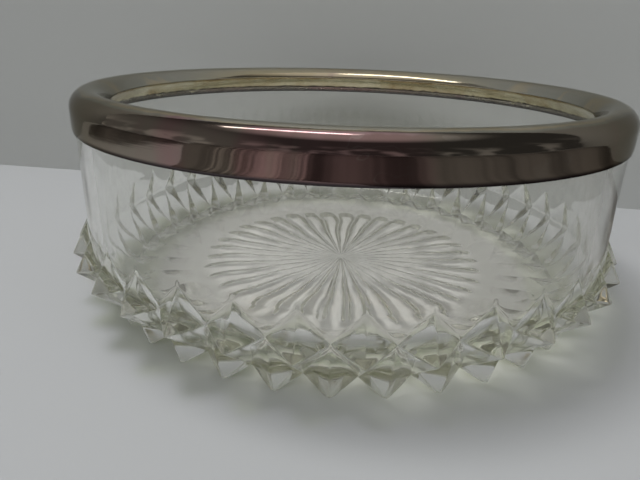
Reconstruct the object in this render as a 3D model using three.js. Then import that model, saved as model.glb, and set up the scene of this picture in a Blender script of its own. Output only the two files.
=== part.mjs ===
// Silver-mounted glass bowl: a pressed glass bowl, and the hollow metal mount on its rim.
// Millimetres, +Z up. The origin is on the bowl's axis, in the plane the bowl stands on.
import * as THREE from "three";

// Overall sizes.
const RIM_RADIUS = 110; // outside of the metal collar
const TOTAL_HEIGHT = 83.4;
const GAP = 0.3; // left between neighbouring pieces
const SHEET = 0.7; // thickness of the mount's metal

// The glass wall and floor.
const COLLAR_TURN_IN = 0.2; // how far the collar's lower edge turns in towards the glass
const WALL_OUTER = RIM_RADIUS - COLLAR_TURN_IN - SHEET - GAP;
const WALL_THICKNESS = 5.4;
const WALL_INNER = WALL_OUTER - WALL_THICKNESS;
const GLASS_TOP = TOTAL_HEIGHT - 7.4;
const RIM_CHAMFER = 1.2;
const FLOOR_Z = 7;
const FLOOR_RISE = 0.6; // how much higher the floor is where the inside corner begins
const INSIDE_CORNER = 30; // radius of the curve between the floor and the wall
const CORNER_STEPS = 8;
const WALL_COUNT = 108; // points round the plain wall: three for each spike

// The two rows of spikes. Each spike is a four-sided pyramid, and the rows interlock.
const SPIKES = 36;
const NET_TOP = { r: WALL_OUTER, z: 34.1 }; // where an upper spike meets the plain wall
const NET_SIDE = { r: WALL_OUTER - 0.7, z: 23.1 }; // between two upper spikes
const NET_LOW = { r: WALL_OUTER - 11.4, z: 5.4 }; // below an upper spike, between two lower ones
const NET_FOOT = { r: WALL_OUTER - 22.8, z: 4.2 }; // the inner corner of a lower spike
const UPPER_TIP = { r: WALL_OUTER + 7.1, z: 20.4 };
const LOWER_TIP = { r: WALL_OUTER - 7.7, z: -0.7 }; // before it is ground flat at z = 0

// The rays pressed into the underside.
const RAYS = 36;
const RAY_POINTS = 4; // points across each ray
const BORDER_END = NET_FOOT.r - 6; // outside of the plain border beyond the rays
const BORDER_WIDTH = 16;
const BORDER_RISE = 1.6;
const FLUTE_LENGTH = 10; // of the shallow flutes that run in from the spikes over the border
const FLUTE_RISE = 0.8;
const RAY_START = 7;
const RAY_END = BORDER_END - BORDER_WIDTH;
const RAY_DEPTH = 1.5;
const RAY_CLOSE = 2.2; // length over which each ray closes at its end
const RAY_RINGS = 7;
const UNDERSIDE_Z = 1.5;

// The collar and the ring that closes it on the inside.
const MOUNT_COUNT = 96;
const COLLAR_LOW = TOTAL_HEIGHT - 13.9;
const COLLAR_TURN = 2.2; // height over which the lower edge turns in to the glass
const SHOULDER = 6.3; // radius of the outer shoulder
const DOME_WIDTH = 8; // from the highest line of the dome in to its inner edge
const DOME_DROP = 4.5;
const LIP_LOW = { r: WALL_INNER - 3, z: TOTAL_HEIGHT - 10.6 };
const BED_LOW = TOTAL_HEIGHT - 9.4;

const GLASS = { color: 0xdfe6e0, roughness: 0.05, metalness: 0 };
const SILVER = { color: 0x8d8078, roughness: 0.3, metalness: 1 };
const LINER = { color: 0xa39778, roughness: 0.35, metalness: 1 };
const PLASTER = { color: 0xd8d3c6, roughness: 0.9, metalness: 0 };

const TURN = Math.PI * 2;

// A growing list of points and triangles.
function newShell() {
  return { points: [], faces: [] };
}

function addPoint(shell, radius, angle, z) {
  shell.points.push(radius * Math.cos(angle), radius * Math.sin(angle), z);
  return { id: shell.points.length / 3 - 1, angle };
}

function addFace(shell, a, b, c) {
  shell.faces.push(a.id, b.id, c.id);
}

function addRing(shell, count, radius, z) {
  const ring = [];
  for (let i = 0; i < count; i++) {
    ring.push(addPoint(shell, radius, (TURN * i) / count, z));
  }
  return ring;
}

// Angle of the nth point of a closed loop, counting on past the full turn.
function angleAt(loop, n) {
  return loop[n % loop.length].angle + TURN * Math.floor(n / loop.length);
}

// Joins two closed loops with triangles, walking round both in order of angle.
function joinLoops(shell, first, second) {
  let i = 0;
  let j = 0;
  while (i < first.length || j < second.length) {
    const a = first[i % first.length];
    const b = second[j % second.length];
    const firstIsNext = angleAt(first, i + 1) <= angleAt(second, j + 1) + 1e-9;
    if (j >= second.length || (i < first.length && firstIsNext)) {
      addFace(shell, a, first[(i + 1) % first.length], b);
      i += 1;
    } else {
      addFace(shell, a, second[(j + 1) % second.length], b);
      j += 1;
    }
  }
}

function joinAll(shell, loops) {
  for (let i = 1; i < loops.length; i++) {
    joinLoops(shell, loops[i - 1], loops[i]);
  }
}

// Closes a loop with a fan round one point on the axis.
function capLoop(shell, loop, z, facesDown) {
  const centre = addPoint(shell, 0, 0, z);
  for (let i = 0; i < loop.length; i++) {
    const next = loop[(i + 1) % loop.length];
    if (facesDown) addFace(shell, centre, next, loop[i]);
    else addFace(shell, centre, loop[i], next);
  }
}

function geometryOf(shell) {
  const geometry = new THREE.BufferGeometry();
  geometry.setAttribute("position", new THREE.Float32BufferAttribute(shell.points, 3));
  geometry.setIndex(shell.faces);
  geometry.computeVertexNormals();
  return geometry;
}

// Turns a closed outline of {r, z} points, given anticlockwise, round the axis.
function revolve(outline) {
  const shell = newShell();
  const loops = outline.map((p) => addRing(shell, MOUNT_COUNT, p.r, p.z));
  joinAll(shell, [...loops, loops[0]]);
  return geometryOf(shell);
}

// Points on an arc in the r-z plane, from one angle to another.
function arc(centre, radius, from, to, steps) {
  const points = [];
  for (let i = 0; i <= steps; i++) {
    const a = from + ((to - from) * i) / steps;
    points.push({ r: centre.r + radius * Math.cos(a), z: centre.z + radius * Math.sin(a) });
  }
  return points;
}

// The same line moved sideways, to its left as it is walked, by a distance.
function offsetLine(line, distance) {
  return line.map((p, i) => {
    const before = line[Math.max(i - 1, 0)];
    const after = line[Math.min(i + 1, line.length - 1)];
    const dr = after.r - before.r;
    const dz = after.z - before.z;
    const length = Math.hypot(dr, dz);
    return { r: p.r - (distance * dz) / length, z: p.z + (distance * dr) / length };
  });
}

function mix(a, b, t) {
  return { r: a.r + (b.r - a.r) * t, z: a.z + (b.z - a.z) * t };
}

// Depth of the rays at a share of the way out: shallow at the middle, full from half way, closed at the end.
function rayDepth(share) {
  return share < 1 ? RAY_DEPTH * Math.min(1, 0.35 + 1.3 * share) : 0;
}

// The underside: rays that deepen outwards and end short at a plain border.
function raySurface(shell) {
  const loops = [];
  for (let n = 0; n <= RAY_RINGS; n++) {
    const share = n / RAY_RINGS;
    const inner = RAY_START + ((RAY_END - RAY_CLOSE - RAY_START) * n) / (RAY_RINGS - 1);
    const radius = n < RAY_RINGS ? inner : RAY_END;
    const loop = [];
    for (let i = 0; i < RAYS * RAY_POINTS; i++) {
      const phase = (TURN * i) / RAY_POINTS;
      const lift = rayDepth(share) * (0.5 - 0.5 * Math.cos(phase));
      const angle = (TURN * i) / (RAYS * RAY_POINTS);
      loop.push(addPoint(shell, radius, angle, UNDERSIDE_Z + lift));
    }
    loops.push(loop);
  }
  joinAll(shell, loops);
  capLoop(shell, loops[0], UNDERSIDE_Z + 0.3, true);
  return loops[loops.length - 1];
}

// A ring that is higher between the lower spikes, where shallow flutes run in from their feet.
function flutedRing(shell, radius, z, rise) {
  const loop = [];
  for (let i = 0; i < SPIKES * 2; i++) {
    const between = i % 2 === 0;
    loop.push(addPoint(shell, radius, (TURN * i) / (SPIKES * 2), between ? z + rise : z));
  }
  return loop;
}

// One loop of the net's corners: count points at a whole or a half spike's spacing.
function netLoop(shell, corner, half) {
  const loop = [];
  for (let k = 0; k < SPIKES; k++) {
    loop.push(addPoint(shell, corner.r, (TURN * (k + (half ? 0.5 : 0))) / SPIKES, corner.z));
  }
  return loop;
}

// A loop that goes through two net loops by turns.
function zigzag(first, second) {
  const loop = [];
  for (let k = 0; k < SPIKES; k++) {
    loop.push(first[k], second[k]);
  }
  return loop;
}

// The lower spikes stand on small flats, where the points were ground level.
function lowerSpike(shell, k, corners) {
  const angle = (TURN * (k + 0.5)) / SPIKES;
  const tip = new THREE.Vector3(
    LOWER_TIP.r * Math.cos(angle),
    LOWER_TIP.r * Math.sin(angle),
    LOWER_TIP.z,
  );
  const flat = corners.map((corner) => {
    const end = new THREE.Vector3().fromArray(shell.points, corner.id * 3);
    const cut = tip.clone().lerp(end, -tip.z / (end.z - tip.z));
    return addPoint(shell, Math.hypot(cut.x, cut.y), Math.atan2(cut.y, cut.x), 0);
  });
  for (let i = 0; i < 4; i++) {
    const next = (i + 1) % 4;
    addFace(shell, corners[i], corners[next], flat[next]);
    addFace(shell, corners[i], flat[next], flat[i]);
  }
  addFace(shell, flat[0], flat[1], flat[2]);
  addFace(shell, flat[0], flat[2], flat[3]);
}

function upperSpike(shell, k, corners) {
  const tip = addPoint(shell, UPPER_TIP.r, (TURN * k) / SPIKES, UPPER_TIP.z);
  for (let i = 0; i < 4; i++) {
    addFace(shell, corners[i], corners[(i + 1) % 4], tip);
  }
}

// The spike band, from the plain border of the underside up to the plain wall.
function spikeBand(shell, border, wall) {
  const tops = wall.filter((_, i) => i % (WALL_COUNT / SPIKES) === 0);
  const sides = netLoop(shell, NET_SIDE, true);
  const lows = netLoop(shell, NET_LOW, false);
  const feet = netLoop(shell, NET_FOOT, true);
  joinLoops(shell, border, zigzag(lows, feet));
  for (let k = 0; k < SPIKES; k++) {
    const next = (k + 1) % SPIKES;
    const before = (k + SPIKES - 1) % SPIKES;
    lowerSpike(shell, k, [feet[k], lows[next], sides[k], lows[k]]);
    upperSpike(shell, k, [lows[k], sides[k], tops[k], sides[before]]);
    plainWindow(shell, k, sides[k], wall);
  }
}

// The plain triangle of wall between two upper spikes.
function plainWindow(shell, k, corner, wall) {
  const step = WALL_COUNT / SPIKES;
  for (let i = k * step; i < (k + 1) * step; i++) {
    addFace(shell, corner, wall[(i + 1) % WALL_COUNT], wall[i]);
  }
}

// The inside of the bowl, from the rim down to the edge of the floor.
function insideLine() {
  const centre = { r: WALL_INNER - INSIDE_CORNER, z: FLOOR_Z + FLOOR_RISE + INSIDE_CORNER };
  return [
    { r: WALL_INNER, z: GLASS_TOP - RIM_CHAMFER },
    ...arc(centre, INSIDE_CORNER, 0, -Math.PI / 2, CORNER_STEPS),
    { r: centre.r * 0.5, z: FLOOR_Z + FLOOR_RISE * 0.25 },
  ];
}

function glassBowl() {
  const shell = newShell();
  const rays = raySurface(shell);
  const plain = flutedRing(shell, BORDER_END - FLUTE_LENGTH, UNDERSIDE_Z + BORDER_RISE * 0.25, 0);
  const border = flutedRing(shell, BORDER_END, UNDERSIDE_Z + BORDER_RISE, FLUTE_RISE);
  joinAll(shell, [rays, plain, border]);
  const wall = addRing(shell, WALL_COUNT, NET_TOP.r, NET_TOP.z);
  spikeBand(shell, border, wall);
  const upper = [
    { r: WALL_OUTER, z: GLASS_TOP - RIM_CHAMFER },
    { r: WALL_OUTER - RIM_CHAMFER, z: GLASS_TOP },
    { r: WALL_INNER + RIM_CHAMFER, z: GLASS_TOP },
    ...insideLine(),
  ].map((p) => addRing(shell, WALL_COUNT, p.r, p.z));
  joinAll(shell, [wall, ...upper]);
  capLoop(shell, upper[upper.length - 1], FLOOR_Z, false);
  return geometryOf(shell);
}

const DOME_TOP = { r: RIM_RADIUS - SHOULDER, z: TOTAL_HEIGHT };
const DOME_RADIUS = (DOME_WIDTH ** 2 + DOME_DROP ** 2) / (2 * DOME_DROP);
const DOME_SWEEP = Math.asin(DOME_WIDTH / DOME_RADIUS);

// The dome's section at a depth under its outside skin, from the outer shoulder to the inner edge.
function domeLine(depth, endSweep, steps) {
  const outer = { r: DOME_TOP.r, z: TOTAL_HEIGHT - SHOULDER };
  const inner = { r: DOME_TOP.r, z: TOTAL_HEIGHT - DOME_RADIUS };
  const half = Math.PI / 2;
  return [
    ...arc(outer, SHOULDER - depth, 0, half, steps + 1),
    ...arc(inner, DOME_RADIUS - depth, half, half + endSweep, steps - 1).slice(1),
  ];
}

function rimCollar() {
  const low = { r: RIM_RADIUS - COLLAR_TURN_IN, z: COLLAR_LOW };
  const skin = [
    low,
    { r: RIM_RADIUS - COLLAR_TURN_IN * 0.25, z: COLLAR_LOW + COLLAR_TURN * 0.5 },
    { r: RIM_RADIUS, z: COLLAR_LOW + COLLAR_TURN },
    ...domeLine(0, DOME_SWEEP, 4),
  ];
  return revolve([...skin, ...offsetLine(skin, SHEET).reverse()]);
}

// The sloping face of the inner ring, from under the collar's edge down to the glass.
function lipFace() {
  const edge = { r: DOME_TOP.r - DOME_WIDTH, z: TOTAL_HEIGHT - DOME_DROP };
  return [{ r: edge.r + GAP * 2, z: edge.z - GAP * 2.7 }, LIP_LOW];
}

function innerLipRing() {
  const face = lipFace();
  const back = offsetLine(face, SHEET);
  const nose = mix(face[1], back[1], 0.5);
  nose.z -= SHEET * 0.35;
  return revolve([...face, nose, ...back.reverse()]);
}

// The plaster fills the mount above the glass rim, a gap away from metal and glass.
function plasterBed() {
  const back = offsetLine(lipFace(), SHEET + GAP);
  const foot = (back[0].z - BED_LOW) / (back[0].z - back[1].z);
  const glassIn = WALL_INNER - GAP;
  const glassOut = WALL_OUTER + GAP;
  const dome = domeLine(SHEET + GAP, DOME_SWEEP * 0.82, 2);
  const seat = GLASS_TOP + GAP;
  return revolve([
    { r: glassIn, z: BED_LOW },
    { r: glassIn, z: seat - RIM_CHAMFER },
    { r: glassIn + RIM_CHAMFER, z: seat },
    { r: glassOut - RIM_CHAMFER, z: seat },
    { r: glassOut, z: seat - RIM_CHAMFER },
    { r: RIM_RADIUS - SHEET - GAP, z: seat - RIM_CHAMFER },
    ...dome,
    mix(back[0], back[1], 0.06),
    mix(back[0], back[1], foot),
  ]);
}

function addPart(group, name, geometry, look) {
  const mesh = new THREE.Mesh(geometry, new THREE.MeshStandardMaterial(look));
  mesh.name = name;
  group.add(mesh);
}

const group = new THREE.Group();
addPart(group, "glass_bowl", glassBowl(), GLASS);
addPart(group, "rim_collar", rimCollar(), SILVER);
addPart(group, "inner_lip_ring", innerLipRing(), LINER);
addPart(group, "plaster_bed", plasterBed(), PLASTER);

export default group;
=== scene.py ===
import math

import bpy
import numpy as np
from mathutils import Matrix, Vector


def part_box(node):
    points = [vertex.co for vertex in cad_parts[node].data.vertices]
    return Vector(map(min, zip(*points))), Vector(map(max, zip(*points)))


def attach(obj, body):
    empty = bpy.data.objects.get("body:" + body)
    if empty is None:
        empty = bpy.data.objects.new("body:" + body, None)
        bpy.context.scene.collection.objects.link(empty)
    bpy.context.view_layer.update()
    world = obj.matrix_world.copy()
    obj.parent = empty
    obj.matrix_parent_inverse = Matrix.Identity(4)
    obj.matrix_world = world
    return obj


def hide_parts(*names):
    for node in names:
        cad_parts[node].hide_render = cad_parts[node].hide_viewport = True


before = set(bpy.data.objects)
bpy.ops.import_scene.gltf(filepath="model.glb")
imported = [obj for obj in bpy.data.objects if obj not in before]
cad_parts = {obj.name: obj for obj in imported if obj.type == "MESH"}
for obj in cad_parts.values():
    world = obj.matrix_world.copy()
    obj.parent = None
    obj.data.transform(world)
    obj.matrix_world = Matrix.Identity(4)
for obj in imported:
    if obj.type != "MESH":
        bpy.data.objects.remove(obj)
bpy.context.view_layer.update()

bl_info = {
    "name": "Silver-Mounted Glass Bowl",
    "version": (1, 0, 0),
    "blender": (4, 5, 0),
    "location": "3D Viewport > Sidebar > Glass Bowl",
    "description": "A pressed glass bowl with spikes and a rayed underside, in a tarnished mount",
    "category": "Add Mesh",
}

MM = 0.001
TURN = 2.0 * math.pi
SPIKES = 36

# The net of corners that the spikes stand on, as (radius, height) in millimetres.
NET_TOP = np.array([108.8, 34.1])
NET_SIDE = np.array([108.1, 23.1])
NET_LOW = np.array([97.4, 5.4])
NET_FOOT = np.array([86.0, 4.2])
UPPER_TIP = np.array([115.9, 20.4])
LOWER_TIP = np.array([101.1, -0.9])
BORDER_EDGE = np.array([80.0, 3.1])

# Points across one spike and down one row of spikes, and how much the edges of the net are rounded.
SPIKE_STEPS = 20
ROW_STEPS = 10
NET_SOFTNESS = 0.024

# The underside, in millimetres: rings near its middle, then along the rays, then where the rays close, as
# shares of the length over which they do. A hollow's side starts and ends at a share of half its width.
UNDERSIDE = 1.5
MIDDLE_RISE = 0.3
MIDDLE_RADII = (1.5, 3.0, 4.5)
RAY_START = 6.5
RAY_STEPS = 23
CLOSING_SHARES = np.array([0.83, 0.67, 0.5, 0.33, 0.17, 0.0])
RAY_ROWS = len(MIDDLE_RADII) + RAY_STEPS + len(CLOSING_SHARES)
SIDE_START = 0.50
SIDE_END = 0.93
FLUTE_RADII = np.array([67.2, 69.2, 71.5, 74.0, 77.0, 80.0, 83.0])

# The wall and the inside of the glass, in millimetres.
WALL_HEIGHTS = (36.5, 40, 45, 50, 55, 60, 65, 70)
INSIDE_HEIGHTS = (70, 62, 54, 46, 38, 32)
FLOOR_RADII = (75, 66, 58, 50, 42, 34, 27, 20, 15, 10, 6, 3)
FLOOR_MIDDLE = 7.0
FLOOR_RISE = 0.6
CORNER_STEPS = 24
INSIDE_ROWS = len(INSIDE_HEIGHTS) + CORNER_STEPS + 2 + len(FLOOR_RADII)
INSIDE_WAVES = 0.10
FLOOR_WAVES = 0.07

# The mount, in millimetres: how far its parts reach down from the top, and points round each ring.
COLLAR_REACH = 13.9
LIP_REACH = 10.6
PLASTER_FOOT = 73.6
PLASTER_GAP = 0.3
METAL_COLUMNS = 540
PLASTER_COLUMNS = 720

# The collar's lower edge, as (how far inside the outer face, height over the edge).
COLLAR_EDGE = np.array([[0.26, 0.02], [0.2, 0.12], [0.12, 0.6], [0.05, 1.1], [0.015, 1.7],
                        [0.0, 2.3], [0.0, 3.6], [0.0, 5.2], [0.0, 6.6]])

# Where the photograph was taken from, in metres and radians. Its focal length and width are in pixels, and
# the width of the sensor that stands for it is in millimetres.
VIEW_FOCAL = 539.853
VIEW_WIDTH = 640.0
SENSOR_WIDTH = 36.0
VIEW_DISTANCE = 0.23797
VIEW_HEIGHT = 0.10566
VIEW_PITCH = 0.37332
VIEW_YAW = -0.04413
VIEW_ROLL = -0.03079
VIEW_TURN = math.radians(-4.0036)

# The stage's wall, in metres.
WALL_DISTANCE = 0.1326
WALL_ANGLE = math.radians(-9.7)
WALL_HEIGHT = 0.42

# Places that the glass's material looks for, in metres.
INSIDE_RADIUS = 0.1055
INSIDE_CORNER = 0.092
INSIDE_FLOOR = 0.0066
SPIKES_FROM = 0.084
SPIKES_TOP = 0.036
RAY_CEILING = 0.0058

# Stretches that the materials fade over, in metres from the axis.
RAY_MIDDLES = (0.002, 0.014)
RAY_ENDS = (0.057, 0.067)
INNER_SLOPE = (0.0965, 0.1032)
OUTER_SLOPE = (0.1020, 0.1046)
COLLAR_SIDES = (0.045, 0.092)

# Stretches that they fade over, in metres of height.
GROUND_FLATS = (0.00004, 0.00016)
WORN_AND_SHADED_TIPS = (0.0015, 0.0055)
WORN_INSIDE = (0.008, 0.030)
COLLAR_FOOT_SHADE = (0.0699, 0.0712)
LIP_EDGE_SHADE = (0.0719, 0.0728)
LIP_CREASE = (0.0768, 0.0786)
DOME_CROWN = (0.0818, 0.0837)


# Meshes.

def mesh_from_triangles(name, points, triangles, uv=None):
    """Makes an object at the origin from an (n, 3) array of points in metres and an (m, 3) array of
    corners."""
    mesh = bpy.data.meshes.new(name)
    mesh.vertices.add(len(points))
    mesh.vertices.foreach_set("co", np.ascontiguousarray(points, np.float32).ravel())
    mesh.loops.add(triangles.size)
    mesh.loops.foreach_set("vertex_index", np.ascontiguousarray(triangles, np.int32).ravel())
    mesh.polygons.add(len(triangles))
    mesh.polygons.foreach_set("loop_start", np.arange(0, triangles.size, 3, dtype=np.int32))
    mesh.polygons.foreach_set("use_smooth", np.ones(len(triangles), bool))
    if uv is not None:
        layer = mesh.uv_layers.new(name="around")
        layer.data.foreach_set("uv", np.ascontiguousarray(uv, np.float32).ravel())
    mesh.update(calc_edges=True)
    mesh.validate()
    obj = bpy.data.objects.new(name, mesh)
    bpy.context.scene.collection.objects.link(obj)
    return obj


def grid_triangles(rows, columns, rising, first=0):
    """Triangles between neighbouring rows of a grid whose columns close on themselves.
    rising says, cell by cell, which of its two diagonals the cell is split along."""
    i, j = np.meshgrid(np.arange(rows - 1), np.arange(columns), indexing="ij")
    here = first + i * columns + j
    aside = first + i * columns + (j + 1) % columns
    above = here + columns
    beyond = aside + columns
    rising = rising[..., None]
    one = np.where(rising, np.stack([here, aside, beyond], -1), np.stack([here, aside, above], -1))
    two = np.where(rising, np.stack([here, beyond, above], -1), np.stack([aside, beyond, above], -1))
    return np.concatenate([one.reshape(-1, 3), two.reshape(-1, 3)])


def wave_sum(x, seed, count, lowest, highest):
    """A smooth wandering line: a sum of count sines of whole frequencies, with seeded phases and sizes."""
    maker = np.random.default_rng(seed)
    frequency = maker.integers(lowest, highest + 1, count)
    phase = maker.uniform(0, TURN, count)
    size = maker.uniform(0.4, 1.0, count) / math.sqrt(count)
    shape = (-1,) + (1,) * np.ndim(x)
    return np.tensordot(size, np.sin(frequency.reshape(shape) * x + phase.reshape(shape)), 1)


# The glass.

def crowded(x):
    """Runs from 0 to 1 with its steps close together at both ends, where the spikes have their edges."""
    return x - 0.62 * np.sin(TURN * x) / TURN


def spike_columns():
    """Places across one spike, from an upper tip at 0 round to the next at 1."""
    half = crowded(np.arange(SPIKE_STEPS // 2 + 1) / (SPIKE_STEPS // 2)) / 2
    return np.concatenate([half, 1 - half[-2:0:-1]])


def net_point(turn, down):
    """Radius and height on the two rows of spikes, before their edges are softened. turn counts spikes
    round the bowl, whole at an upper spike and half way at a lower one. down is 0 at the plain wall, 1 at
    the upper tips, 2 at the lower tips and 3 at the feet. Inside each diamond the point is a weighted
    mean of the tip and the two nearest corners, which makes a four-sided pyramid."""
    across = 2 * np.abs((turn + 0.5) % 1.0 - 0.5)
    a, b = across[..., None], np.abs(down - 1)[..., None]
    far = np.where((down < 1)[..., None], NET_TOP, NET_LOW)
    upper = (1 - a - b) * UPPER_TIP + a * NET_SIDE + b * far
    c, d = 1 - a, np.abs(down - 2)[..., None]
    far = np.where((down < 2)[..., None], NET_SIDE, NET_FOOT)
    lower = (1 - c - d) * LOWER_TIP + c * NET_LOW + d * far
    t = down[..., None]
    window = (1 - t) * NET_TOP + t * NET_SIDE
    foot = (3 - t) * NET_LOW + (t - 2) * NET_FOOT
    plain = np.where(t < 1.5, window, foot)
    point = np.where(a + b <= 1, upper, np.where(c + d <= 1, lower, plain))
    wall = NET_TOP + np.array([0.0, 8.0]) * -t
    border = NET_FOOT + (BORDER_EDGE - NET_FOOT) * (t - 3)
    return np.where(t < 0, wall, np.where(t > 3, border, point))


def soft_net(turn, down, softness):
    """The net with its edges rounded: the mean of nine places close to each point."""
    total = np.zeros(turn.shape + (2,))
    for i, wide in zip((-1, 0, 1), (0.25, 0.5, 0.25)):
        for j, high in zip((-1, 0, 1), (0.25, 0.5, 0.25)):
            total += wide * high * net_point(turn + 0.5 * softness * i, down + softness * j)
    return total


def ray_depth(radius, sizes):
    """How deep the rays of the underside are at a radius: shallow near the middle, deeper outwards, and
    closing in a half wave over the last few millimetres."""
    end, close = sizes.ray_end / MM, sizes.ray_close / MM
    rise = np.clip((radius - 2) / 4, 0, 1) * (0.28 + 0.72 * np.minimum(1, radius / end))
    last = 0.5 + 0.5 * np.cos(math.pi * np.clip((radius - end + close) / close, 0, 1))
    return sizes.ray_depth / MM * rise * last


def ray_rows(turn, sizes):
    """The underside out to the end of the rays. Each ray is a wide hollow with a flat bottom, and a
    narrow ridge with steep rounded sides stands between it and the next."""
    end, close = sizes.ray_end / MM, sizes.ray_close / MM
    long_part = np.linspace(RAY_START, end - close, RAY_STEPS)
    radius = np.concatenate([MIDDLE_RADII, long_part, end - close * CLOSING_SHARES])[:, None]
    uneven = 0.9 * wave_sum(TURN * turn[None, :] / sizes.spikes, 61, 8, 5, 16)
    taper = np.clip((radius + uneven - end + close) / close, 0, 1)
    across = np.abs(2 * (turn[None, :] % 1.0) - 1) + 0.45 * taper
    side = np.clip((across - SIDE_START) / (SIDE_END - SIDE_START), 0, 1)
    lift = ray_depth(radius + uneven * (radius < end), sizes) * (0.5 + 0.5 * np.cos(math.pi * side))
    return np.stack([radius + 0 * lift, UNDERSIDE + lift + MIDDLE_RISE * np.exp(-((radius / 9) ** 2))], -1)


def ray_bend(turn, radius, spikes):
    """How far the ridges between rays wander sideways on their way out, as a share of the space between
    them. It is nothing at the middle and beyond their ends."""
    within = np.clip((radius - 8) / 20, 0, 1) * np.clip((66 - radius) / 14, 0, 1)
    own = wave_sum(TURN * turn / spikes, 67, 6, 3, 12)
    return within * (0.10 * np.sin(radius / 11.0 + own) + 0.07 * np.sin(radius / 5.5 + 2.3 * own))


def flute_rows(turn, sizes):
    """The border between the rays and the feet of the spikes: a cone with shallow flutes that grow
    towards the spikes, highest in line with the upper ones."""
    radius = FLUTE_RADII[:, None]
    steps = ((0.4, 64, 6), (1.2, 70, 10), (1.1, 80, 6))
    cone = UNDERSIDE + sum(rise * np.clip((radius - start) / width, 0, 1) for rise, start, width in steps)
    grown = np.clip((radius - 69) / 11, 0, 1) * np.clip((86 - radius) / 6, 0, 1)
    across = 2 * np.abs((turn[None, :] + 0.5) % 1.0 - 0.5)
    return np.stack([radius + 0 * across, cone + sizes.flute_rise / MM * grown * (1 - across ** 1.5)], -1)


def ring_rows(points, columns):
    """Plain rings, one for each (radius, height)."""
    return np.repeat(np.asarray(points, float)[:, None, :], columns, axis=1)


def arc_points(centre, radius, start, end, steps):
    """Points on an arc in the plane of radius and height, with angles in radians."""
    angle = np.linspace(start, end, steps + 1)
    return np.stack([centre[0] + radius * np.cos(angle), centre[1] + radius * np.sin(angle)], -1)


def glass_rows(sizes, turn):
    """All rings of the glass, from the middle of the underside out, up and back in to the middle of the
    floor."""
    columns = len(turn)
    wall_out, wall_in = NET_TOP[0], NET_TOP[0] - sizes.glass_wall / MM
    top = sizes.glass_top / MM
    corner = sizes.inside_corner / MM
    down = np.concatenate([3 - crowded(np.arange(ROW_STEPS) / ROW_STEPS) - k for k in range(3)] + [[0.0]])
    band = soft_net(*np.broadcast_arrays(turn[None, :], down[:, None]), NET_SOFTNESS)
    wall = [[wall_out, z] for z in WALL_HEIGHTS + (top - 1.2,)]
    rim = [[wall_out - 0.35, top - 0.35], [wall_out - 1.2, top],
           [wall_in + 1.2, top], [wall_in + 0.35, top - 0.35]]
    inside = [[wall_in, z] for z in (top - 1.2,) + INSIDE_HEIGHTS]
    centre = (wall_in - corner, FLOOR_MIDDLE + FLOOR_RISE + corner)
    bend = arc_points(centre, corner, 0, -math.pi / 2, CORNER_STEPS)
    floor = [[r, FLOOR_MIDDLE + FLOOR_RISE * (r / centre[0]) ** 2] for r in FLOOR_RADII]
    rings = [ring_rows(line, columns) for line in (wall, rim, inside, bend, floor)]
    return np.concatenate([ray_rows(turn, sizes), flute_rows(turn, sizes), band] + rings)


def glass_bowl(sizes):
    """The pressed glass: rings of (radius, height) turned to (x, y, z) at each column's angle, closed by
    a point at the middle of the underside and one at the middle of the floor. The inside wanders by a
    tenth of a millimetre."""
    spikes = sizes.spikes
    turn = (np.arange(spikes)[:, None] + spike_columns()[None, :]).ravel()
    angle = TURN * turn / spikes
    rows = glass_rows(sizes, turn)
    radius, height = rows[..., 0].copy(), rows[..., 1].copy()
    count, columns = radius.shape
    inside = np.zeros(count)
    inside[-INSIDE_ROWS:] = np.clip((np.arange(INSIDE_ROWS) + 1) / 4.0, 0, 1)
    inside = inside[:, None]
    around = angle[None, :]
    swell = wave_sum(around + 0 * height, 11, 9, 2, 17) + 0.6 * wave_sum(height / 9 + 0 * around, 5, 3, 1, 3)
    radius += INSIDE_WAVES * inside * swell * (radius > 70)
    ripple = wave_sum(around + radius / 11, 23, 7, 1, 9) + 0.5 * wave_sum(radius / 8 - around, 29, 5, 1, 6)
    height += FLOOR_WAVES * inside * ripple * np.clip((90 - radius) / 10, 0, 1) * np.clip(radius / 12, 0, 1)
    height = np.maximum(height, 0.0)
    rays = (np.arange(count) < RAY_ROWS)[:, None] * ray_bend(turn[None, :], radius, spikes)
    angle = TURN * (turn[None, :] + rays) / spikes
    points = np.stack([radius * np.cos(angle), radius * np.sin(angle), height], -1).reshape(-1, 3)
    part = (np.arange(columns) % SPIKE_STEPS)[None, :]
    below_net = RAY_ROWS + len(FLUTE_RADII)
    step = (np.arange(count - 1) - below_net)[:, None]
    falling = (step // ROW_STEPS) % 2 == 0
    first_half = part < SPIKE_STEPS // 2
    rising = np.where(falling, ~first_half, first_half)
    triangles = grid_triangles(count, columns, rising)
    low, high = len(points), len(points) + 1
    ends = np.array([[0, 0, UNDERSIDE + MIDDLE_RISE], [0, 0, FLOOR_MIDDLE]])
    j = np.arange(columns)
    after = (j + 1) % columns
    last = (count - 1) * columns
    under = np.stack([0 * j + low, after, j], -1)
    over = np.stack([0 * j + high, last + j, last + after], -1)
    points = np.concatenate([points, ends]) * MM
    return mesh_from_triangles("pressed_glass_bowl", points, np.concatenate([triangles, under, over]))


# The mount.

def offset_line(line, distance):
    """The line moved to its left as it is walked, by a distance."""
    before = np.concatenate([line[:1], line[:-1]])
    after = np.concatenate([line[1:], line[-1:]])
    way = after - before
    way /= np.hypot(way[:, 0], way[:, 1])[:, None]
    return line + distance * np.stack([-way[:, 1], way[:, 0]], -1)


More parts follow.
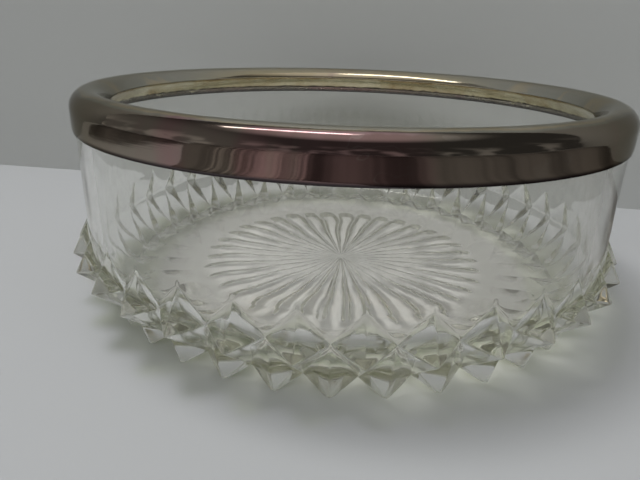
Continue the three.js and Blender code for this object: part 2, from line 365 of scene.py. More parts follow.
def turned_ring(name, outline, columns, push=None):
    """A closed outline of (radius, height), given anticlockwise, turned round the axis. push(angle,
    height, radius) moves each point outwards a little, in millimetres. Its UV map holds the turn and the
    way along the outline."""
    count = len(outline)
    angle = TURN * np.arange(columns) / columns
    radius = np.repeat(outline[:, 0][:, None], columns, 1)
    height = np.repeat(outline[:, 1][:, None], columns, 1)
    if push is not None:
        shift = push(angle[None, :] + 0 * radius, height, radius)
        radius, height = radius + shift[0], height + shift[1]
    points = np.stack([radius * np.cos(angle), radius * np.sin(angle), height], -1)
    i, j = np.meshgrid(np.arange(count), np.arange(columns), indexing="ij")
    up, side = (i + 1) % count, (j + 1) % columns
    a, b, c, d = i * columns + j, i * columns + side, up * columns + side, up * columns + j
    corners = [np.stack(three, -1).reshape(-1, 3) for three in ((a, b, c), (a, c, d))]
    u0, u1, v0, v1 = j / columns, (j + 1) / columns, i / count, (i + 1) / count
    halves = ((u0, v0, u1, v0, u1, v1), (u0, v0, u1, v1, u0, v1))
    places = [np.stack(half, -1).reshape(-1, 6) for half in halves]
    points = points.reshape(-1, 3) * MM
    return mesh_from_triangles(name, points, np.concatenate(corners), np.concatenate(places))


def dome_line(sizes, depth, steps):
    """The mount's dome: a quarter circle over the outer shoulder, then a flatter arc in to its inner
    edge."""
    crest = (sizes.rim_radius - sizes.shoulder) / MM
    top, shoulder = sizes.total_height / MM, sizes.shoulder / MM
    width, drop = sizes.dome_width / MM, sizes.dome_drop / MM
    round_in = (width ** 2 + drop ** 2) / (2 * drop)
    sweep = math.asin(width / round_in)
    outer = arc_points((crest, top - shoulder), shoulder - depth, 0, math.pi / 2, steps)
    inner = arc_points((crest, top - round_in), round_in - depth, math.pi / 2, math.pi / 2 + sweep, steps)
    return np.concatenate([outer, inner[1:]])


def collar_push(angle, height, radius):
    """Slight dents and flats of old thin metal: long waves of a few hundredths of a millimetre, which are
    stronger near the lower edge."""
    low = np.clip((84 - height) / 14, 0, 1)
    swell = 0.035 * wave_sum(angle, 3, 12, 3, 26) + 0.012 * wave_sum(angle, 8, 10, 30, 70)
    tilt = 0.03 * wave_sum(angle, 17, 9, 2, 19) * (height - 76) / 7
    return (swell * (0.5 + 0.5 * low) + tilt * low, 0.02 * wave_sum(angle, 31, 8, 4, 30) * (1 - low))


def rim_collar(sizes):
    """The collar: an upright band with its lower edge turned in to the glass, a round shoulder and a
    dome, made of sheet with a rounded lower edge."""
    radius, low = sizes.rim_radius / MM, sizes.total_height / MM - COLLAR_REACH
    sheet = sizes.sheet / MM
    foot = np.array([radius, low]) + COLLAR_EDGE * np.array([-1, 1])
    skin = np.concatenate([foot, dome_line(sizes, 0, 20)])
    back = offset_line(skin, sheet)[::-1]
    way = math.atan2(*(skin[-1] - back[0])[::-1])
    end = arc_points((skin[-1] + back[0]) / 2, sheet / 2, way, way + math.pi, 8)[1:-1]
    return turned_ring("plated_collar", np.concatenate([skin, end, back]), METAL_COLUMNS, collar_push)


def lip_line(sizes):
    """The sloping face of the inner ring, from under the collar's edge down to the glass, hollowed a
    little."""
    edge = np.array([(sizes.rim_radius - sizes.shoulder - sizes.dome_width) / MM + 0.6,
                     (sizes.total_height - sizes.dome_drop) / MM - 0.81])
    foot = np.array([NET_TOP[0] - sizes.glass_wall / MM - 3.0, sizes.total_height / MM - LIP_REACH])
    t = np.linspace(0, 1, 9)[:, None]
    line = edge * (1 - t) + foot * t
    return line + np.array([0.35, 0.1]) * np.sin(math.pi * t)


def lip_push(angle, height, radius):
    """The thin ring is not quite true: slow waves round it."""
    swell = 0.05 * wave_sum(angle, 41, 10, 3, 22) + 0.02 * wave_sum(angle, 43, 10, 24, 60)
    return (swell, 0.5 * swell)


def inner_lip(sizes):
    """The ring that closes the mount on the inside, of sheet with a rounded lower edge."""
    face = lip_line(sizes)
    back = offset_line(face, sizes.sheet / MM)
    nose = (face[-1] + back[-1]) / 2 + np.array([[0.0, -0.22]])
    return turned_ring("inner_lip", np.concatenate([face, nose, back[::-1]]), METAL_COLUMNS, lip_push)


def crumbs(angle):
    """How far the plaster hangs down round the ring, in millimetres: mostly nothing, with lumps where it
    broke off."""
    rough = wave_sum(angle, 51, 16, 9, 60) + 0.6 * wave_sum(angle, 53, 20, 60, 160)
    return np.clip(rough - 0.55, 0, 1.2) * 2.6


def plaster_bed(sizes):
    """The plaster in the hollow of the mount. Its lower face, behind the lip's edge, is ragged."""
    wall_in, wall_out = NET_TOP[0] - sizes.glass_wall / MM, NET_TOP[0]
    low, gap = PLASTER_FOOT, PLASTER_GAP
    seat = sizes.glass_top / MM + gap
    depth = sizes.sheet / MM + gap
    back = offset_line(lip_line(sizes), depth)
    dome = dome_line(sizes, depth, 10)
    foot = np.array([[back[-1, 0] + 0.25, low], [wall_in - 0.95, low - 0.05], [wall_in - gap, low + 0.1]])
    glass = np.array([[wall_in - gap, seat - 1.2], [wall_in + 0.9, seat], [wall_out - 0.9, seat],
                      [wall_out + gap, seat - 1.2], [sizes.rim_radius / MM - depth, seat - 1.2]])
    down = back[:-1][back[:-1, 1] > low + 0.3]
    outline = np.concatenate([foot, glass, dome[:-3], down])

    def push(angle, height, radius):
        return (0 * angle, -crumbs(angle) * np.clip((low + 1.0 - height) / 0.8, 0, 1) * (radius < wall_in))

    return turned_ring("setting_plaster", outline, PLASTER_COLUMNS, push)


# Shader parts.

class Field:
    """A number that changes over a surface, as an output socket. Arithmetic on it adds Math nodes."""

    def __init__(self, socket):
        self.socket = socket

    def step(self, operation, first, second=0.0):
        """One Math node on two numbers, either of which may change over the surface."""
        made = node(self.socket.id_data, "ShaderNodeMath", {0: first, 1: second}, operation=operation)
        return Field(made.outputs[0])

    def __add__(self, other):
        return self.step("ADD", self, other)

    def __sub__(self, other):
        return self.step("SUBTRACT", self, other)

    def __rsub__(self, other):
        return self.step("SUBTRACT", other, self)

    def __mul__(self, other):
        return self.step("MULTIPLY", self, other)

    def __gt__(self, other):
        return self.step("GREATER_THAN", self, other)

    def __lt__(self, other):
        return self.step("LESS_THAN", self, other)

    def __abs__(self):
        return self.step("ABSOLUTE", self)

    def fraction(self):
        """What is left over a whole number."""
        return self.step("FRACT", self)

    def at_least(self, other):
        """The larger of two numbers."""
        return self.step("MAXIMUM", self, other)

    def mapped(self, low, high, to_low=0.0, to_high=1.0):
        """Carried smoothly from one range to another, and held inside it."""
        inputs = {"Value": self, "From Min": low, "From Max": high, "To Min": to_low, "To Max": to_high}
        made = node(self.socket.id_data, "ShaderNodeMapRange", inputs, interpolation_type="SMOOTHSTEP")
        return Field(made.outputs["Result"])


def feed(slot, value):
    """Links an input to a Field or an output socket, or sets it to a number, a vector or a colour."""
    if isinstance(value, Field):
        value = value.socket
    if isinstance(value, bpy.types.NodeSocket):
        slot.id_data.links.new(value, slot)
    elif slot.type == "RGBA":
        slot.default_value = tuple(value)[:3] + (1.0,)
    else:
        slot.default_value = value


def node(tree, kind, inputs=None, **settings):
    """Adds a node in the next place of a simple grid, and gives it its settings and inputs."""
    made = tree.nodes.new(kind)
    column, row = divmod(len(tree.nodes), 6)
    made.location = (220 * column, -260 * row)
    for name, value in settings.items():
        setattr(made, name, value)
    for name, value in (inputs or {}).items():
        feed(made.inputs[name], value)
    return made


def mixed(factor, first, second):
    """Two colours mixed by a Field. Each may be a socket or a colour."""
    inputs = {0: factor, 6: first, 7: second}
    return node(factor.socket.id_data, "ShaderNodeMix", inputs, data_type="RGBA").outputs[2]


def noise(vector, scale, detail, stretch=(1, 1, 1), roughness=0.5, distortion=0.0):
    """Noise on a vector that is first scaled by three numbers."""
    tree = vector.id_data
    moved = node(tree, "ShaderNodeVectorMath", {0: vector, 1: stretch}, operation="MULTIPLY").outputs[0]
    inputs = {"Vector": moved, "Scale": scale, "Detail": detail, "Roughness": roughness}
    made = node(tree, "ShaderNodeTexNoise", {**inputs, "Distortion": distortion})
    return Field(made.outputs["Fac"])


def along(place, axis):
    """One coordinate of a place."""
    return Field(node(place.id_data, "ShaderNodeSeparateXYZ", {0: place}).outputs[axis])


def level_part(place):
    """A place without its height."""
    inputs = {0: place, 1: (1.0, 1.0, 0.0)}
    return node(place.id_data, "ShaderNodeVectorMath", inputs, operation="MULTIPLY").outputs[0]


def axis_distance(place):
    """How far a place is from the upright axis."""
    made = node(place.id_data, "ShaderNodeVectorMath", {0: level_part(place)}, operation="LENGTH")
    return Field(made.outputs["Value"])


def bump(height, strength, distance, before=None):
    """A Bump node, which may follow another."""
    inputs = {"Height": height, "Strength": strength, "Distance": distance}
    if before is not None:
        inputs["Normal"] = before
    return node(height.socket.id_data, "ShaderNodeBump", inputs).outputs["Normal"]


def new_group(name, sockets_in, sockets_out):
    """Starts a shader node group with named inputs (name, kind, default) and outputs (name, kind)."""
    tree = bpy.data.node_groups.new(name, "ShaderNodeTree")
    for label, kind, value in sockets_in:
        socket = tree.interface.new_socket(name=label, in_out="INPUT", socket_type="NodeSocket" + kind)
        if value is not None:
            socket.default_value = value
    for label, kind in sockets_out:
        tree.interface.new_socket(name=label, in_out="OUTPUT", socket_type="NodeSocket" + kind)
    return tree, node(tree, "NodeGroupInput").outputs, node(tree, "NodeGroupOutput").inputs


def tarnish_group():
    """Tarnish on plated metal: large clouds and small mottles of film, as a colour from bright through
    gold and film to deep, and as a mask."""
    tree, given, result = new_group(
        "tarnish_film",
        [("Vector", "Vector", None), ("Clouds", "Float", 14.0), ("Amount", "Float", 0.5)]
        + [(shade, "Color", None) for shade in ("Bright", "Gold", "Film", "Deep")],
        [("Color", "Color"), ("Mask", "Float")],
    )
    clouds = noise(given["Vector"], given["Clouds"], 4.0, roughness=0.55, distortion=0.7)
    mottle = noise(given["Vector"], 170.0, 5.0, roughness=0.65)
    mask = clouds.mapped(0.3, 0.7, -0.22, 0.22) + mottle.mapped(0.35, 0.7, -0.05, 0.05) + given["Amount"]
    gold = mixed(mask.mapped(0.1, 0.34), given["Bright"], given["Gold"])
    film = mixed(mask.mapped(0.3, 0.52), gold, given["Film"])
    feed(result["Color"], mixed(mask.mapped(0.5, 0.84), film, given["Deep"]))
    feed(result["Mask"], mask.mapped(0.0, 1.0))
    return tree


def polish_marks_group():
    """Fine lines left by years of polishing: hairlines along the ring, and a few crossing scratches, as
    masks."""
    tree, given, result = new_group(
        "polish_marks",
        [("Vector", "Vector", None), ("Width", "Float", 0.012)],
        [("Hairlines", "Float"), ("Scratches", "Float")],
    )
    place = given["Vector"]
    feed(result["Hairlines"], noise(place, 1.0, 3.0, (55, 55, 2600)).mapped(0.42, 0.62))
    crossing = abs(noise(place, 90.0, 2.0, (1.0, 0.35, 1.6), distortion=0.4) - 0.5) < given["Width"]
    feed(result["Scratches"], crossing * noise(place, 30.0, 1.0).mapped(0.52, 0.7))
    return tree


def grime_group():
    """A soft dirty bloom: a blotchy mask."""
    tree, given, result = new_group(
        "dull_bloom",
        [("Vector", "Vector", None), ("Size", "Float", 60.0), ("Amount", "Float", 0.5)],
        [("Mask", "Float")],
    )
    blotches = noise(given["Vector"], given["Size"], 6.0, roughness=0.6) + given["Amount"]
    feed(result["Mask"], blotches.mapped(0.85, 1.25))
    return tree


GROUP_MAKERS = {"tarnish_film": tarnish_group, "polish_marks": polish_marks_group, "dull_bloom": grime_group}


def use_group(place, name, **inputs):
    """Places a node group, made the first time it is asked for, on a vector, and returns its outputs."""
    group = bpy.data.node_groups.get(name) or GROUP_MAKERS[name]()
    return node(place.id_data, "ShaderNodeGroup", {"Vector": place, **inputs}, node_tree=group).outputs


def start_material(name):
    """A new material, its tree and the input that its shader goes to."""
    material = bpy.data.materials.new(name)
    material.use_nodes = True
    tree = material.node_tree
    tree.nodes.clear()
    return material, tree, node(tree, "ShaderNodeOutputMaterial").inputs["Surface"]


def object_place(tree):
    """Object coordinates."""
    return node(tree, "ShaderNodeTexCoord").outputs["Object"]


def principled(tree, inputs):
    """A Principled BSDF as a shader socket."""
    return node(tree, "ShaderNodeBsdfPrincipled", inputs).outputs[0]


def either_shader(tree, factor, first, second):
    """One of two shaders, or a mixture of both."""
    return node(tree, "ShaderNodeMixShader", {0: factor, 1: first, 2: second}).outputs[0]


PLAIN_LIGHT = 0.4


def ray_light(place, height, out):
    """How light gathers under the rays, for shadow rays only: 0 under the ridges, 1 in the middle of the
    hollows and 0.4, which leaves the light as it is, away from the rays."""
    sideways = along(place, "Y")
    way = sideways.step("ARCTAN2", sideways, along(place, "X"))
    across = (way * (SPIKES / TURN) + 0.5).fraction() - 0.5
    across = abs(across + noise(place, 120.0, 2.0).mapped(0.0, 1.0, -0.35, 0.35))
    within = out.mapped(*RAY_ENDS, 1.0, 0.0) * out.mapped(*RAY_MIDDLES, 0.25, 1.0) * (height < RAY_CEILING)
    return (across.mapped(0.14, 0.34) - PLAIN_LIGHT) * within + PLAIN_LIGHT


def glass_material(finish):
    """Old pressed glass: clear with a weak grey-green body colour, slow ripples from the mould and faint
    bloom. Its lower tips are worn, and frosted where they were ground. Their tint there is darker and
    greener as painted shade from the floor's shadow. Shadow and diffuse rays go
    straight through, tinted as the glass would gather and weaken the light."""
    material, tree, surface = start_material("pressed_glass")
    place = object_place(tree)
    height, out = along(place, "Z"), axis_distance(place)
    ripple = bump(noise(place, 45.0, 2.0), 0.06, 0.0012)
    ripple = bump(noise(place, 260.0, 2.0), 0.05, 0.00015, ripple)
    bloom = Field(use_group(place, "dull_bloom", Size=70.0, Amount=0.42)["Mask"])
    corner = (out - INSIDE_CORNER).at_least(0.0) * 0.9
    inside = (height > corner + INSIDE_FLOOR) * (out < INSIDE_RADIUS)
    spiked = (1.0 - inside) * (height < SPIKES_TOP) * (out > SPIKES_FROM)
    tips = spiked * height.mapped(*WORN_AND_SHADED_TIPS, 1.0, 0.0)
    ground = height.mapped(*GROUND_FLATS, 1.0, 0.0)
    rough = bloom.mapped(0.0, 1.0, 0.016, 0.045)
    rough = rough.at_least(inside * height.mapped(*WORN_INSIDE, 0.012, 0.035))
    rough = rough.at_least(ground * 0.45).at_least(tips * 0.20)
    # Painted shade: the lower tips and ground flats are tinted darker and greener, for the shade near the
    # floor. Their roughness is real wear.
    colour = mixed(tips, finish.glass, (0.80, 0.83, 0.76))
    colour = mixed(ground, colour, (0.74, 0.76, 0.71))
    glass = principled(tree, {"Metallic": 0.0, "Transmission Weight": 0.975, "IOR": finish.glass_index,
                              "Base Color": colour, "Roughness": rough, "Normal": ripple})
    straight = mixed(ray_light(place, height, out), (0.60, 0.588, 0.58), (1.60, 1.57, 1.55))
    streaks = noise(place, 75.0, 1.0, (1, 1, 0.3)).mapped(0.40, 0.60)
    straight = mixed(spiked, straight, mixed(streaks, (0.72, 0.73, 0.65), (1.36, 1.37, 1.24)))
    grazing = mixed(spiked, (0.70, 0.72, 0.66), (0.32, 0.36, 0.22))
    facing = Field(node(tree, "ShaderNodeLayerWeight", {"Blend": 0.40}).outputs["Facing"])
    clear = node(tree, "ShaderNodeBsdfTransparent", {"Color": mixed(facing, straight, grazing)}).outputs[0]
    path = node(tree, "ShaderNodeLightPath").outputs
    unseen = Field(path["Is Shadow Ray"]).at_least(path["Is Diffuse Ray"])
    feed(surface, either_shader(tree, unseen, glass, clear))
    body = node(tree, "ShaderNodeVolumeAbsorption", {"Color": (0.50, 0.52, 0.15), "Density": 6.5}).outputs[0]
    feed(surface.node.inputs["Volume"], body)
    return material


def plate_material(finish):
    """Silver plate under years of tarnish: maroon and olive-brown on the upright face, rosy on the
    shoulder, paler on top and a little gold inside, with hairlines, a few scratches, and a duller film
    where the tarnish is thick. The turned-in lower edge is coloured near black as painted shade."""
    material, tree, surface = start_material("tarnished_plate")
    place = object_place(tree)
    height, out, off_side = along(place, "Z"), axis_distance(place), abs(along(place, "X"))
    inner = mixed(off_side.mapped(*COLLAR_SIDES), finish.plate_inside, (0.52, 0.51, 0.46))
    bright = mixed(out.mapped(*INNER_SLOPE, 1.0, 0.0), finish.plate_bright, inner)
    hue = (noise(place, 26.0, 3.0, (1, 1, 0.25), distortion=0.8) + off_side * 3.2).mapped(0.50, 0.68)
    deep = mixed(hue, finish.plate_deep, finish.plate_olive)
    side_film = mixed(hue, finish.plate_film, (0.44, 0.425, 0.37))
    amount = height.mapped(*DOME_CROWN, 1.0, 0.0) * out.mapped(*OUTER_SLOPE) * 0.80 + 0.14
    film = use_group(place, "tarnish_film", Clouds=22.0, Amount=amount, Bright=bright,
                     Gold=(0.72, 0.62, 0.46), Film=side_film, Deep=deep)
    marks = use_group(place, "polish_marks", Width=0.010)
    bloom = Field(use_group(place, "dull_bloom", Size=90.0, Amount=0.45)["Mask"])
    colour = mixed(Field(marks["Scratches"]) * 0.25, film["Color"], (0.62, 0.56, 0.52))
    # Painted shade: the collar's lower edge, where it turns in to the glass, is coloured near black.
    colour = mixed(height.mapped(*COLLAR_FOOT_SHADE, 1.0, 0.0), colour, (0.055, 0.045, 0.048))
    rough = Field(film["Mask"]).mapped(0.0, 1.0, 0.10, 0.06) + bloom * 0.05
    feed(surface, principled(tree, {
        "Metallic": 1.0, "Specular Tint": (0.50, 0.49, 0.45), "Base Color": colour, "Roughness": rough,
        "Normal": bump(Field(marks["Hairlines"]), 0.05, 0.00002)}))
    return material


def lip_material(finish):
    """Worn plate on the inner ring: pale gold where the base metal shows, brown along the crease under
    the collar, and a ragged near-black line of painted shade along its lower edge, for the dark gap under it."""
    material, tree, surface = start_material("worn_lip")
    place = object_place(tree)
    height = along(place, "Z")
    crease = height.mapped(*LIP_CREASE, 0.28, 0.62)
    film = use_group(place, "tarnish_film", Clouds=30.0, Amount=crease, Bright=finish.lip_bright,
                     Gold=(0.62, 0.54, 0.36), Film=finish.lip_worn, Deep=(0.16, 0.09, 0.04))
    marks = use_group(place, "polish_marks", Width=0.012)
    # Painted shade: a ragged near-black band along the lower edge stands in for the shadowed gap under the
    # lip.
    painted_edge_shade = (height + noise(place, 420.0, 3.0, (1, 1, 1.6)) * -0.0022).mapped(*LIP_EDGE_SHADE, 1.0, 0.0)
    feed(surface, principled(tree, {
        "Metallic": 1.0, "Base Color": mixed(painted_edge_shade, film["Color"], (0.07, 0.055, 0.04)),
        "Roughness": Field(film["Mask"]).mapped(0.0, 1.0, 0.14, 0.34),
        "Normal": bump(Field(marks["Hairlines"]), 0.12, 0.00003)}))
    return material


def plaster_material(finish):
    """Old setting plaster: off-white, stained brown in blotches, with a crumbling surface."""
    material, tree, surface = start_material("setting_plaster")
    place = object_place(tree)
    stain = Field(use_group(place, "dull_bloom", Size=180.0, Amount=0.5)["Mask"])
    grain = noise(place, 900.0, 6.0, roughness=0.7)
    feed(surface, principled(tree, {
        "Roughness": 0.9, "Base Color": mixed(stain, finish.plaster, (0.42, 0.34, 0.22)),
        "Normal": bump(grain, 0.8, 0.0004)}))
    return material


# The stage.

def floor_material(finish):
    """A plain matt floor with the faintest unevenness."""
    material, tree, surface = start_material("studio_floor")
    place = object_place(tree)
    low, high = (tuple(c * share for c in finish.floor) for share in (0.985, 1.015))
    colour = mixed(noise(place, 3.0, 2.0), low, high)
    feed(surface, principled(tree, {
        "Base Color": colour, "Roughness": 0.55, "Specular IOR Level": 0.25}))
    return material


def backdrop_material(finish):
    """A plain matt wall that can't be seen from behind, so the object can be looked at from every side."""
    material, tree, surface = start_material("studio_backdrop")
    matt = principled(tree, {"Base Color": finish.backdrop, "Roughness": 0.6, "Specular IOR Level": 0.2})
    behind = node(tree, "ShaderNodeNewGeometry").outputs["Backfacing"]
    clear = node(tree, "ShaderNodeBsdfTransparent").outputs[0]
    feed(surface, either_shader(tree, behind, matt, clear))
    return material


def room_card_material(name, dark, light, fineness, share):
    """The far side of a dim room as polished metal shows it: dark, with paler patches and bars that run
    away from the bowl, so that an upright surface shows them upright."""
    material, tree, surface = start_material(name)
    place = object_place(tree)
    heading = node(tree, "ShaderNodeVectorMath", {0: level_part(place)}, operation="NORMALIZE").outputs[0]
    bars = noise(heading, 3.1, 1.0) + (noise(heading, fineness, 3.0) - 0.5) * share
    strength = bars.mapped(0.33, 0.67, dark, light) * axis_distance(place).mapped(0.32, 0.80, 1.0, 0.70)
    glow = node(tree, "ShaderNodeEmission", {"Color": (1.0, 0.93, 0.88), "Strength": strength})
    feed(surface, glow.outputs[0])
    return material


def flat_sheet(name, corners, material):
    """A flat four-cornered sheet of the stage."""
    sheet = mesh_from_triangles(name, np.array(corners, float), np.array([[0, 1, 2], [0, 2, 3]]))
    sheet.data.materials.append(material)
    return sheet


def build_floor_and_wall(finish):
    """The floor is a wide square. The backdrop stands close behind the bowl, a little turned, and blocks
    no lamp."""
    flat_sheet("floor", [(-3, -3, 0), (3, -3, 0), (3, 3, 0), (-3, 3, 0)], floor_material(finish))
    along_wall = (math.cos(WALL_ANGLE), math.sin(WALL_ANGLE))
    back = (-along_wall[1] * WALL_DISTANCE, along_wall[0] * WALL_DISTANCE)
    ends = [(back[0] + along_wall[0] * w, back[1] + along_wall[1] * w) for w in (-1.6, 1.6)]
    corners = [(*ends[0], 0), (*ends[1], 0), (*ends[1], WALL_HEIGHT), (*ends[0], WALL_HEIGHT)]
    backdrop = flat_sheet("backdrop", corners, backdrop_material(finish))
    backdrop.visible_shadow = False


# The cards' corners on the floor. They lie side by side round the bowl, from the left to the right.
CARDS = {
    "front_card": [(-0.40, -1.6), (1.4, -1.6), (0.0, -0.24), (-0.065, -0.25)],
    "slat_card": [(-1.4, -1.27), (-0.40, -1.6), (-0.065, -0.25), (-0.18, -0.163)],
    "bar_card": [(-1.4, -0.90), (-1.4, -1.27), (-0.18, -0.163), (-0.21, -0.135)],
    "right_card": [(0.0, -0.24), (1.4, -1.6), (1.4, 0.80), (0.16, 0.05)],
    "left_card": [(-1.4, -0.5), (-0.42, -0.345), (-0.42, 0.14), (-1.4, 0.3)],
}
CARD_HEIGHT = 0.002


def build_cards():
    """Dim cards just over the floor in front and to both sides, which show in reflections and nowhere
    else, as the darker part of a room does."""
    dim = room_card_material("dim_room", 0.05, 0.17, 26.0, 0.35)
    slatted = room_card_material("dim_room_slats", 0.06, 0.42, 64.0, 1.1)
    for name, corners in CARDS.items():
        places = [(x, y, CARD_HEIGHT) for x, y in corners]
        card = flat_sheet(name, places, slatted if name == "slat_card" else dim)
        for kind in ("camera", "diffuse", "transmission", "shadow", "volume_scatter"):
            setattr(card, "visible_" + kind, False)


BELOW = None
TUBE_TURN = math.radians(-12)


def area_lamp(name, place, target, size, power, colour):
    """A soft lamp of two side lengths, aimed at a point, or straight down where target is BELOW."""
    lamp = bpy.data.lights.new(name, "AREA")
    lamp.shape = "RECTANGLE"
    lamp.size, lamp.size_y = size
    lamp.energy = power
    lamp.color = colour
    obj = bpy.data.objects.new(name, lamp)
    obj.location = place
    if target is not BELOW:
        x, y, z = np.subtract(place, target, dtype=float)
        obj.rotation_euler = (math.atan2(math.hypot(x, y), z), 0.0, math.atan2(x, -y))
    bpy.context.scene.collection.objects.link(obj)
    return obj


def build_world(finish):
    """A dim even room: darker low down, lighter overhead and to the left, with faint upright patches. The
    camera and the glass see it plain and pale."""
    world = bpy.data.worlds.new("studio_world")
    bpy.context.scene.world = world
    world.use_nodes = True
    tree = world.node_tree
    tree.nodes.clear()
    way = node(tree, "ShaderNodeTexCoord").outputs["Generated"]
    upward = along(way, "Z")
    panes = noise(way, 5.0, 2.0, (1.0, 1.0, 0.35)).mapped(0.46, 0.62, 0.0, 0.20)
    level = upward.mapped(0.80, 0.99, 0.05, 0.50) + panes * upward.mapped(0.2, 0.6, 1.0, 0.0)
    level = level + along(way, "X").mapped(-0.35, -0.80, 0.0, 0.10)
    seen = mixed(level, (0.0, 0.0, 0.0), (1.0, 0.985, 0.96))
    path = node(tree, "ShaderNodeLightPath").outputs
    seen = mixed(Field(path["Is Transmission Ray"]), seen, tuple(0.66 * c for c in finish.world))
    seen = mixed(Field(path["Is Camera Ray"]), seen, finish.world)
    background = node(tree, "ShaderNodeBackground", {"Color": seen, "Strength": 1.0})
    node(tree, "ShaderNodeOutputWorld", {"Surface": background.outputs[0]})


def build_lights(finish):
    """A soft lamp overhead, a little to the left, and weak ones from the right and the front light the
    object, and don't show in polished surfaces. A narrow lamp overhead, in a wider dim one, gives metal
    and glass their highlights, and a small one shows through the glass only."""
    white = (1.0, 1.0, 1.0)
    key = area_lamp("soft_lamp", (-0.27, 0.03, 1.20), (0, 0, 0), (0.38, 0.38), 8.4, (1.0, 0.995, 0.985))
    fill = area_lamp("fill_lamp", (0.9, -0.9, 0.7), (0, 0, 0.03), (0.8, 0.8), 2.4, (0.97, 0.985, 1.0))
    front = area_lamp("front_lamp", (-0.20, -1.1, 1.25), (0, 0.1, 0.05), (1.2, 0.8), 9.5, white)
    tube = area_lamp("narrow_lamp", (-0.37, 0.16, 1.5), BELOW, (0.8, 0.07), 1.0, (1.0, 0.99, 0.98))
    shade = area_lamp("shade_lamp", (-0.37, 0.14, 1.53), BELOW, (0.9, 0.24), 0.6, (1.0, 0.97, 0.95))
    glint = area_lamp("glint_lamp", (-0.25, -0.15, 1.5), BELOW, (0.035, 0.035), 0.03, white)
    for lamp in (tube, shade):
        lamp.rotation_euler = (0.0, 0.0, TUBE_TURN)
    for lamp in (key, fill, front, glint):
        lamp.visible_glossy = False
    for lamp in (key, fill, front, tube, shade):
        lamp.visible_transmission = False
    build_world(finish)


def build_camera():
    """The camera stands where the photograph was taken from. Its axes come from pitch, yaw and roll."""
    cp, sp, cy, sy = math.cos(VIEW_PITCH), math.sin(VIEW_PITCH), math.cos(VIEW_YAW), math.sin(VIEW_YAW)
    ahead = np.array([sy * cp, cy * cp, -sp])
    right = np.array([cy, -sy, 0.0])
    down = np.cross(ahead, right)
    cr, sr = math.cos(VIEW_ROLL), math.sin(VIEW_ROLL)
    right, down = cr * right + sr * down, -sr * right + cr * down
    ct, st = math.cos(VIEW_TURN), math.sin(VIEW_TURN)
    spin = np.array([[ct, -st, 0], [st, ct, 0], [0, 0, 1]])
    data = bpy.data.cameras.new("view")
    data.sensor_width = SENSOR_WIDTH
    data.lens = VIEW_FOCAL / VIEW_WIDTH * SENSOR_WIDTH
    data.clip_start = 0.01
    camera = bpy.data.objects.new("view", data)
    matrix = np.eye(4)
    matrix[:3, :3] = np.stack([spin @ right, spin @ -down, spin @ -ahead], 1)
    matrix[:3, 3] = spin @ np.array([0, -VIEW_DISTANCE, VIEW_HEIGHT])
    camera.matrix_world = Matrix(matrix.tolist())
    bpy.context.scene.collection.objects.link(camera)
    bpy.context.scene.camera = camera


# The add-on.

def length(name, description, default):
    """A length in metres that a user may change."""
    return bpy.props.FloatProperty(name=name, description=description, default=default, unit="LENGTH")


def tint(name, description, default):
    """A colour that a user may change."""
    return bpy.props.FloatVectorProperty(
        name=name, description=description, default=default, subtype="COLOR", size=3, min=0, max=1)


class BowlSizes(bpy.types.PropertyGroup):
    """Sizes of the bowl and its mount."""
    rim_radius: length("Rim radius", "Outside radius of the collar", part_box("rim_collar")[1].x)
    total_height: length("Height", "From the ground tips to the top of the dome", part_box("rim_collar")[1].z)
    glass_top: length("Glass top", "Height of the glass rim inside the mount", 0.076)
    glass_wall: length("Glass wall", "Thickness of the glass wall", 0.0054)
    inside_corner: length("Inside corner", "Radius of the curve from the floor to the wall", 0.020)
    spikes: bpy.props.IntProperty(name="Spikes", description="Spikes in each row", default=SPIKES, min=12)
    ray_end: length("Ray end", "Radius at which the rays of the underside end", 0.0657)
    ray_depth: length("Ray depth", "Depth of the rays", 0.0012)
    ray_close: length("Ray close", "Length over which a ray closes at its end", 0.0095)
    flute_rise: length("Flute rise", "Height of the flutes at the feet of the spikes", 0.0005)
    shoulder: length("Shoulder", "Radius of the collar's outer shoulder", 0.0063)
    dome_width: length("Dome width", "From the dome's highest line in to its edge", 0.008)
    dome_drop: length("Dome drop", "How much lower the dome's inner edge is", 0.0045)
    sheet: length("Sheet", "Thickness of the mount's metal", 0.0007)


class BowlFinishes(bpy.types.PropertyGroup):
    """Colours and other values of the finishes."""
    glass: tint("Glass", "Tint of the glass surface", (1.0, 1.0, 0.995))
    glass_index: bpy.props.FloatProperty(
        name="Refractive index", description="Refractive index of the glass", default=1.51, min=1.0, max=2.0)
    plate_bright: tint("Bright plate", "Plate with little tarnish", (0.76, 0.73, 0.65))
    plate_inside: tint("Inner plate", "Plate on the inner slope of the dome", (0.68, 0.59, 0.40))
    plate_film: tint("Tarnished plate", "Plate under a film of tarnish", (0.52, 0.34, 0.36))
    plate_deep: tint("Maroon tarnish", "Thick tarnish, red-brown", (0.34, 0.22, 0.21))
    plate_olive: tint("Olive tarnish", "Thick tarnish, olive-brown", (0.31, 0.27, 0.225))
    lip_bright: tint("Bright lip", "Lip with little wear", (0.74, 0.68, 0.50))
    lip_worn: tint("Worn lip", "Lip where the base metal shows", (0.46, 0.36, 0.20))
    plaster: tint("Plaster", "Setting plaster", (0.70, 0.67, 0.58))
    floor: tint("Floor", "Floor of the stage", (0.39, 0.40, 0.41))
    backdrop: tint("Backdrop", "Wall of the stage", (0.44, 0.45, 0.44))
    world: tint("World", "What the camera sees beyond the stage", (0.42, 0.43, 0.44))


def settle(piece, material, node_name):
    """Gives a finished piece its material and its body, and hides the CAD node that it stands for."""
    if len(piece.data.polygons) == 0:
        raise RuntimeError(f"{piece.name} has no faces")
    piece.data.materials.append(material)
    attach(piece, "root")
    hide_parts(node_name)


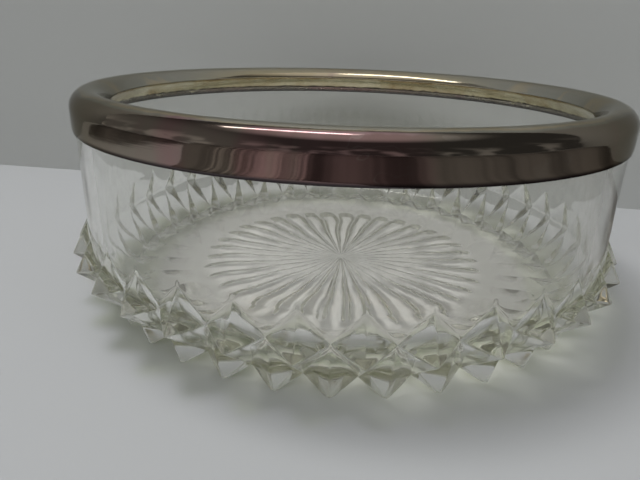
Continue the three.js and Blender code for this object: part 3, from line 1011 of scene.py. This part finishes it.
class BOWL_OT_glass(bpy.types.Operator):
    """Builds the pressed glass bowl with its spikes and rays"""
    bl_idname = "glass_bowl.glass"
    bl_label = "Pressed glass"

    def execute(self, context):
        scene = context.scene
        settle(glass_bowl(scene.bowl_sizes), glass_material(scene.bowl_finishes), "glass_bowl")
        return {"FINISHED"}


class BOWL_OT_collar(bpy.types.Operator):
    """Builds the domed collar of tarnished plate"""
    bl_idname = "glass_bowl.collar"
    bl_label = "Plated collar"

    def execute(self, context):
        scene = context.scene
        collar, plate = rim_collar(scene.bowl_sizes), plate_material(scene.bowl_finishes)
        settle(collar, plate, "rim_collar")
        return {"FINISHED"}


class BOWL_OT_lip(bpy.types.Operator):
    """Builds the ring that closes the mount on the inside"""
    bl_idname = "glass_bowl.lip"
    bl_label = "Inner lip"

    def execute(self, context):
        scene = context.scene
        settle(inner_lip(scene.bowl_sizes), lip_material(scene.bowl_finishes), "inner_lip_ring")
        return {"FINISHED"}


class BOWL_OT_plaster(bpy.types.Operator):
    """Builds the setting plaster inside the mount"""
    bl_idname = "glass_bowl.plaster"
    bl_label = "Setting plaster"

    def execute(self, context):
        scene = context.scene
        plaster = plaster_bed(scene.bowl_sizes)
        settle(plaster, plaster_material(scene.bowl_finishes), "plaster_bed")
        return {"FINISHED"}


class BOWL_OT_stage(bpy.types.Operator):
    """Builds the floor, the backdrop, the cards, the lights and the camera"""
    bl_idname = "glass_bowl.stage"
    bl_label = "Studio stage"

    def execute(self, context):
        finish = context.scene.bowl_finishes
        build_camera()
        build_floor_and_wall(finish)
        build_cards()
        build_lights(finish)
        context.scene.view_settings.view_transform = "Standard"
        cycles = context.scene.cycles
        cycles.max_bounces = 28
        cycles.transmission_bounces = 24
        cycles.glossy_bounces = 10
        cycles.transparent_max_bounces = 24
        cycles.caustics_refractive = False
        cycles.caustics_reflective = False
        return {"FINISHED"}


class BOWL_PT_sidebar(bpy.types.Panel):
    """Lists the steps that build the bowl"""
    bl_label = "Glass Bowl"
    bl_idname = "BOWL_PT_sidebar"
    bl_space_type = "VIEW_3D"
    bl_region_type = "UI"
    bl_category = "Glass Bowl"

    def draw(self, context):
        column = self.layout.column(align=True)
        for step in STEPS:
            column.operator(step.bl_idname)
        for group in (context.scene.bowl_sizes, context.scene.bowl_finishes):
            box = self.layout.box()
            for name in group.__annotations__:
                box.prop(group, name)


STEPS = (BOWL_OT_stage, BOWL_OT_glass, BOWL_OT_collar, BOWL_OT_lip, BOWL_OT_plaster)
CLASSES = (BowlSizes, BowlFinishes) + STEPS + (BOWL_PT_sidebar,)


def register():
    for cls in CLASSES:
        bpy.utils.register_class(cls)
    bpy.types.Scene.bowl_sizes = bpy.props.PointerProperty(type=BowlSizes)
    bpy.types.Scene.bowl_finishes = bpy.props.PointerProperty(type=BowlFinishes)


def unregister():
    del bpy.types.Scene.bowl_finishes
    del bpy.types.Scene.bowl_sizes
    for cls in reversed(CLASSES):
        bpy.utils.unregister_class(cls)


def main():
    register()
    bpy.ops.glass_bowl.stage()
    bpy.ops.glass_bowl.glass()
    bpy.ops.glass_bowl.collar()
    bpy.ops.glass_bowl.lip()
    bpy.ops.glass_bowl.plaster()


if __name__ == "__main__":
    main()
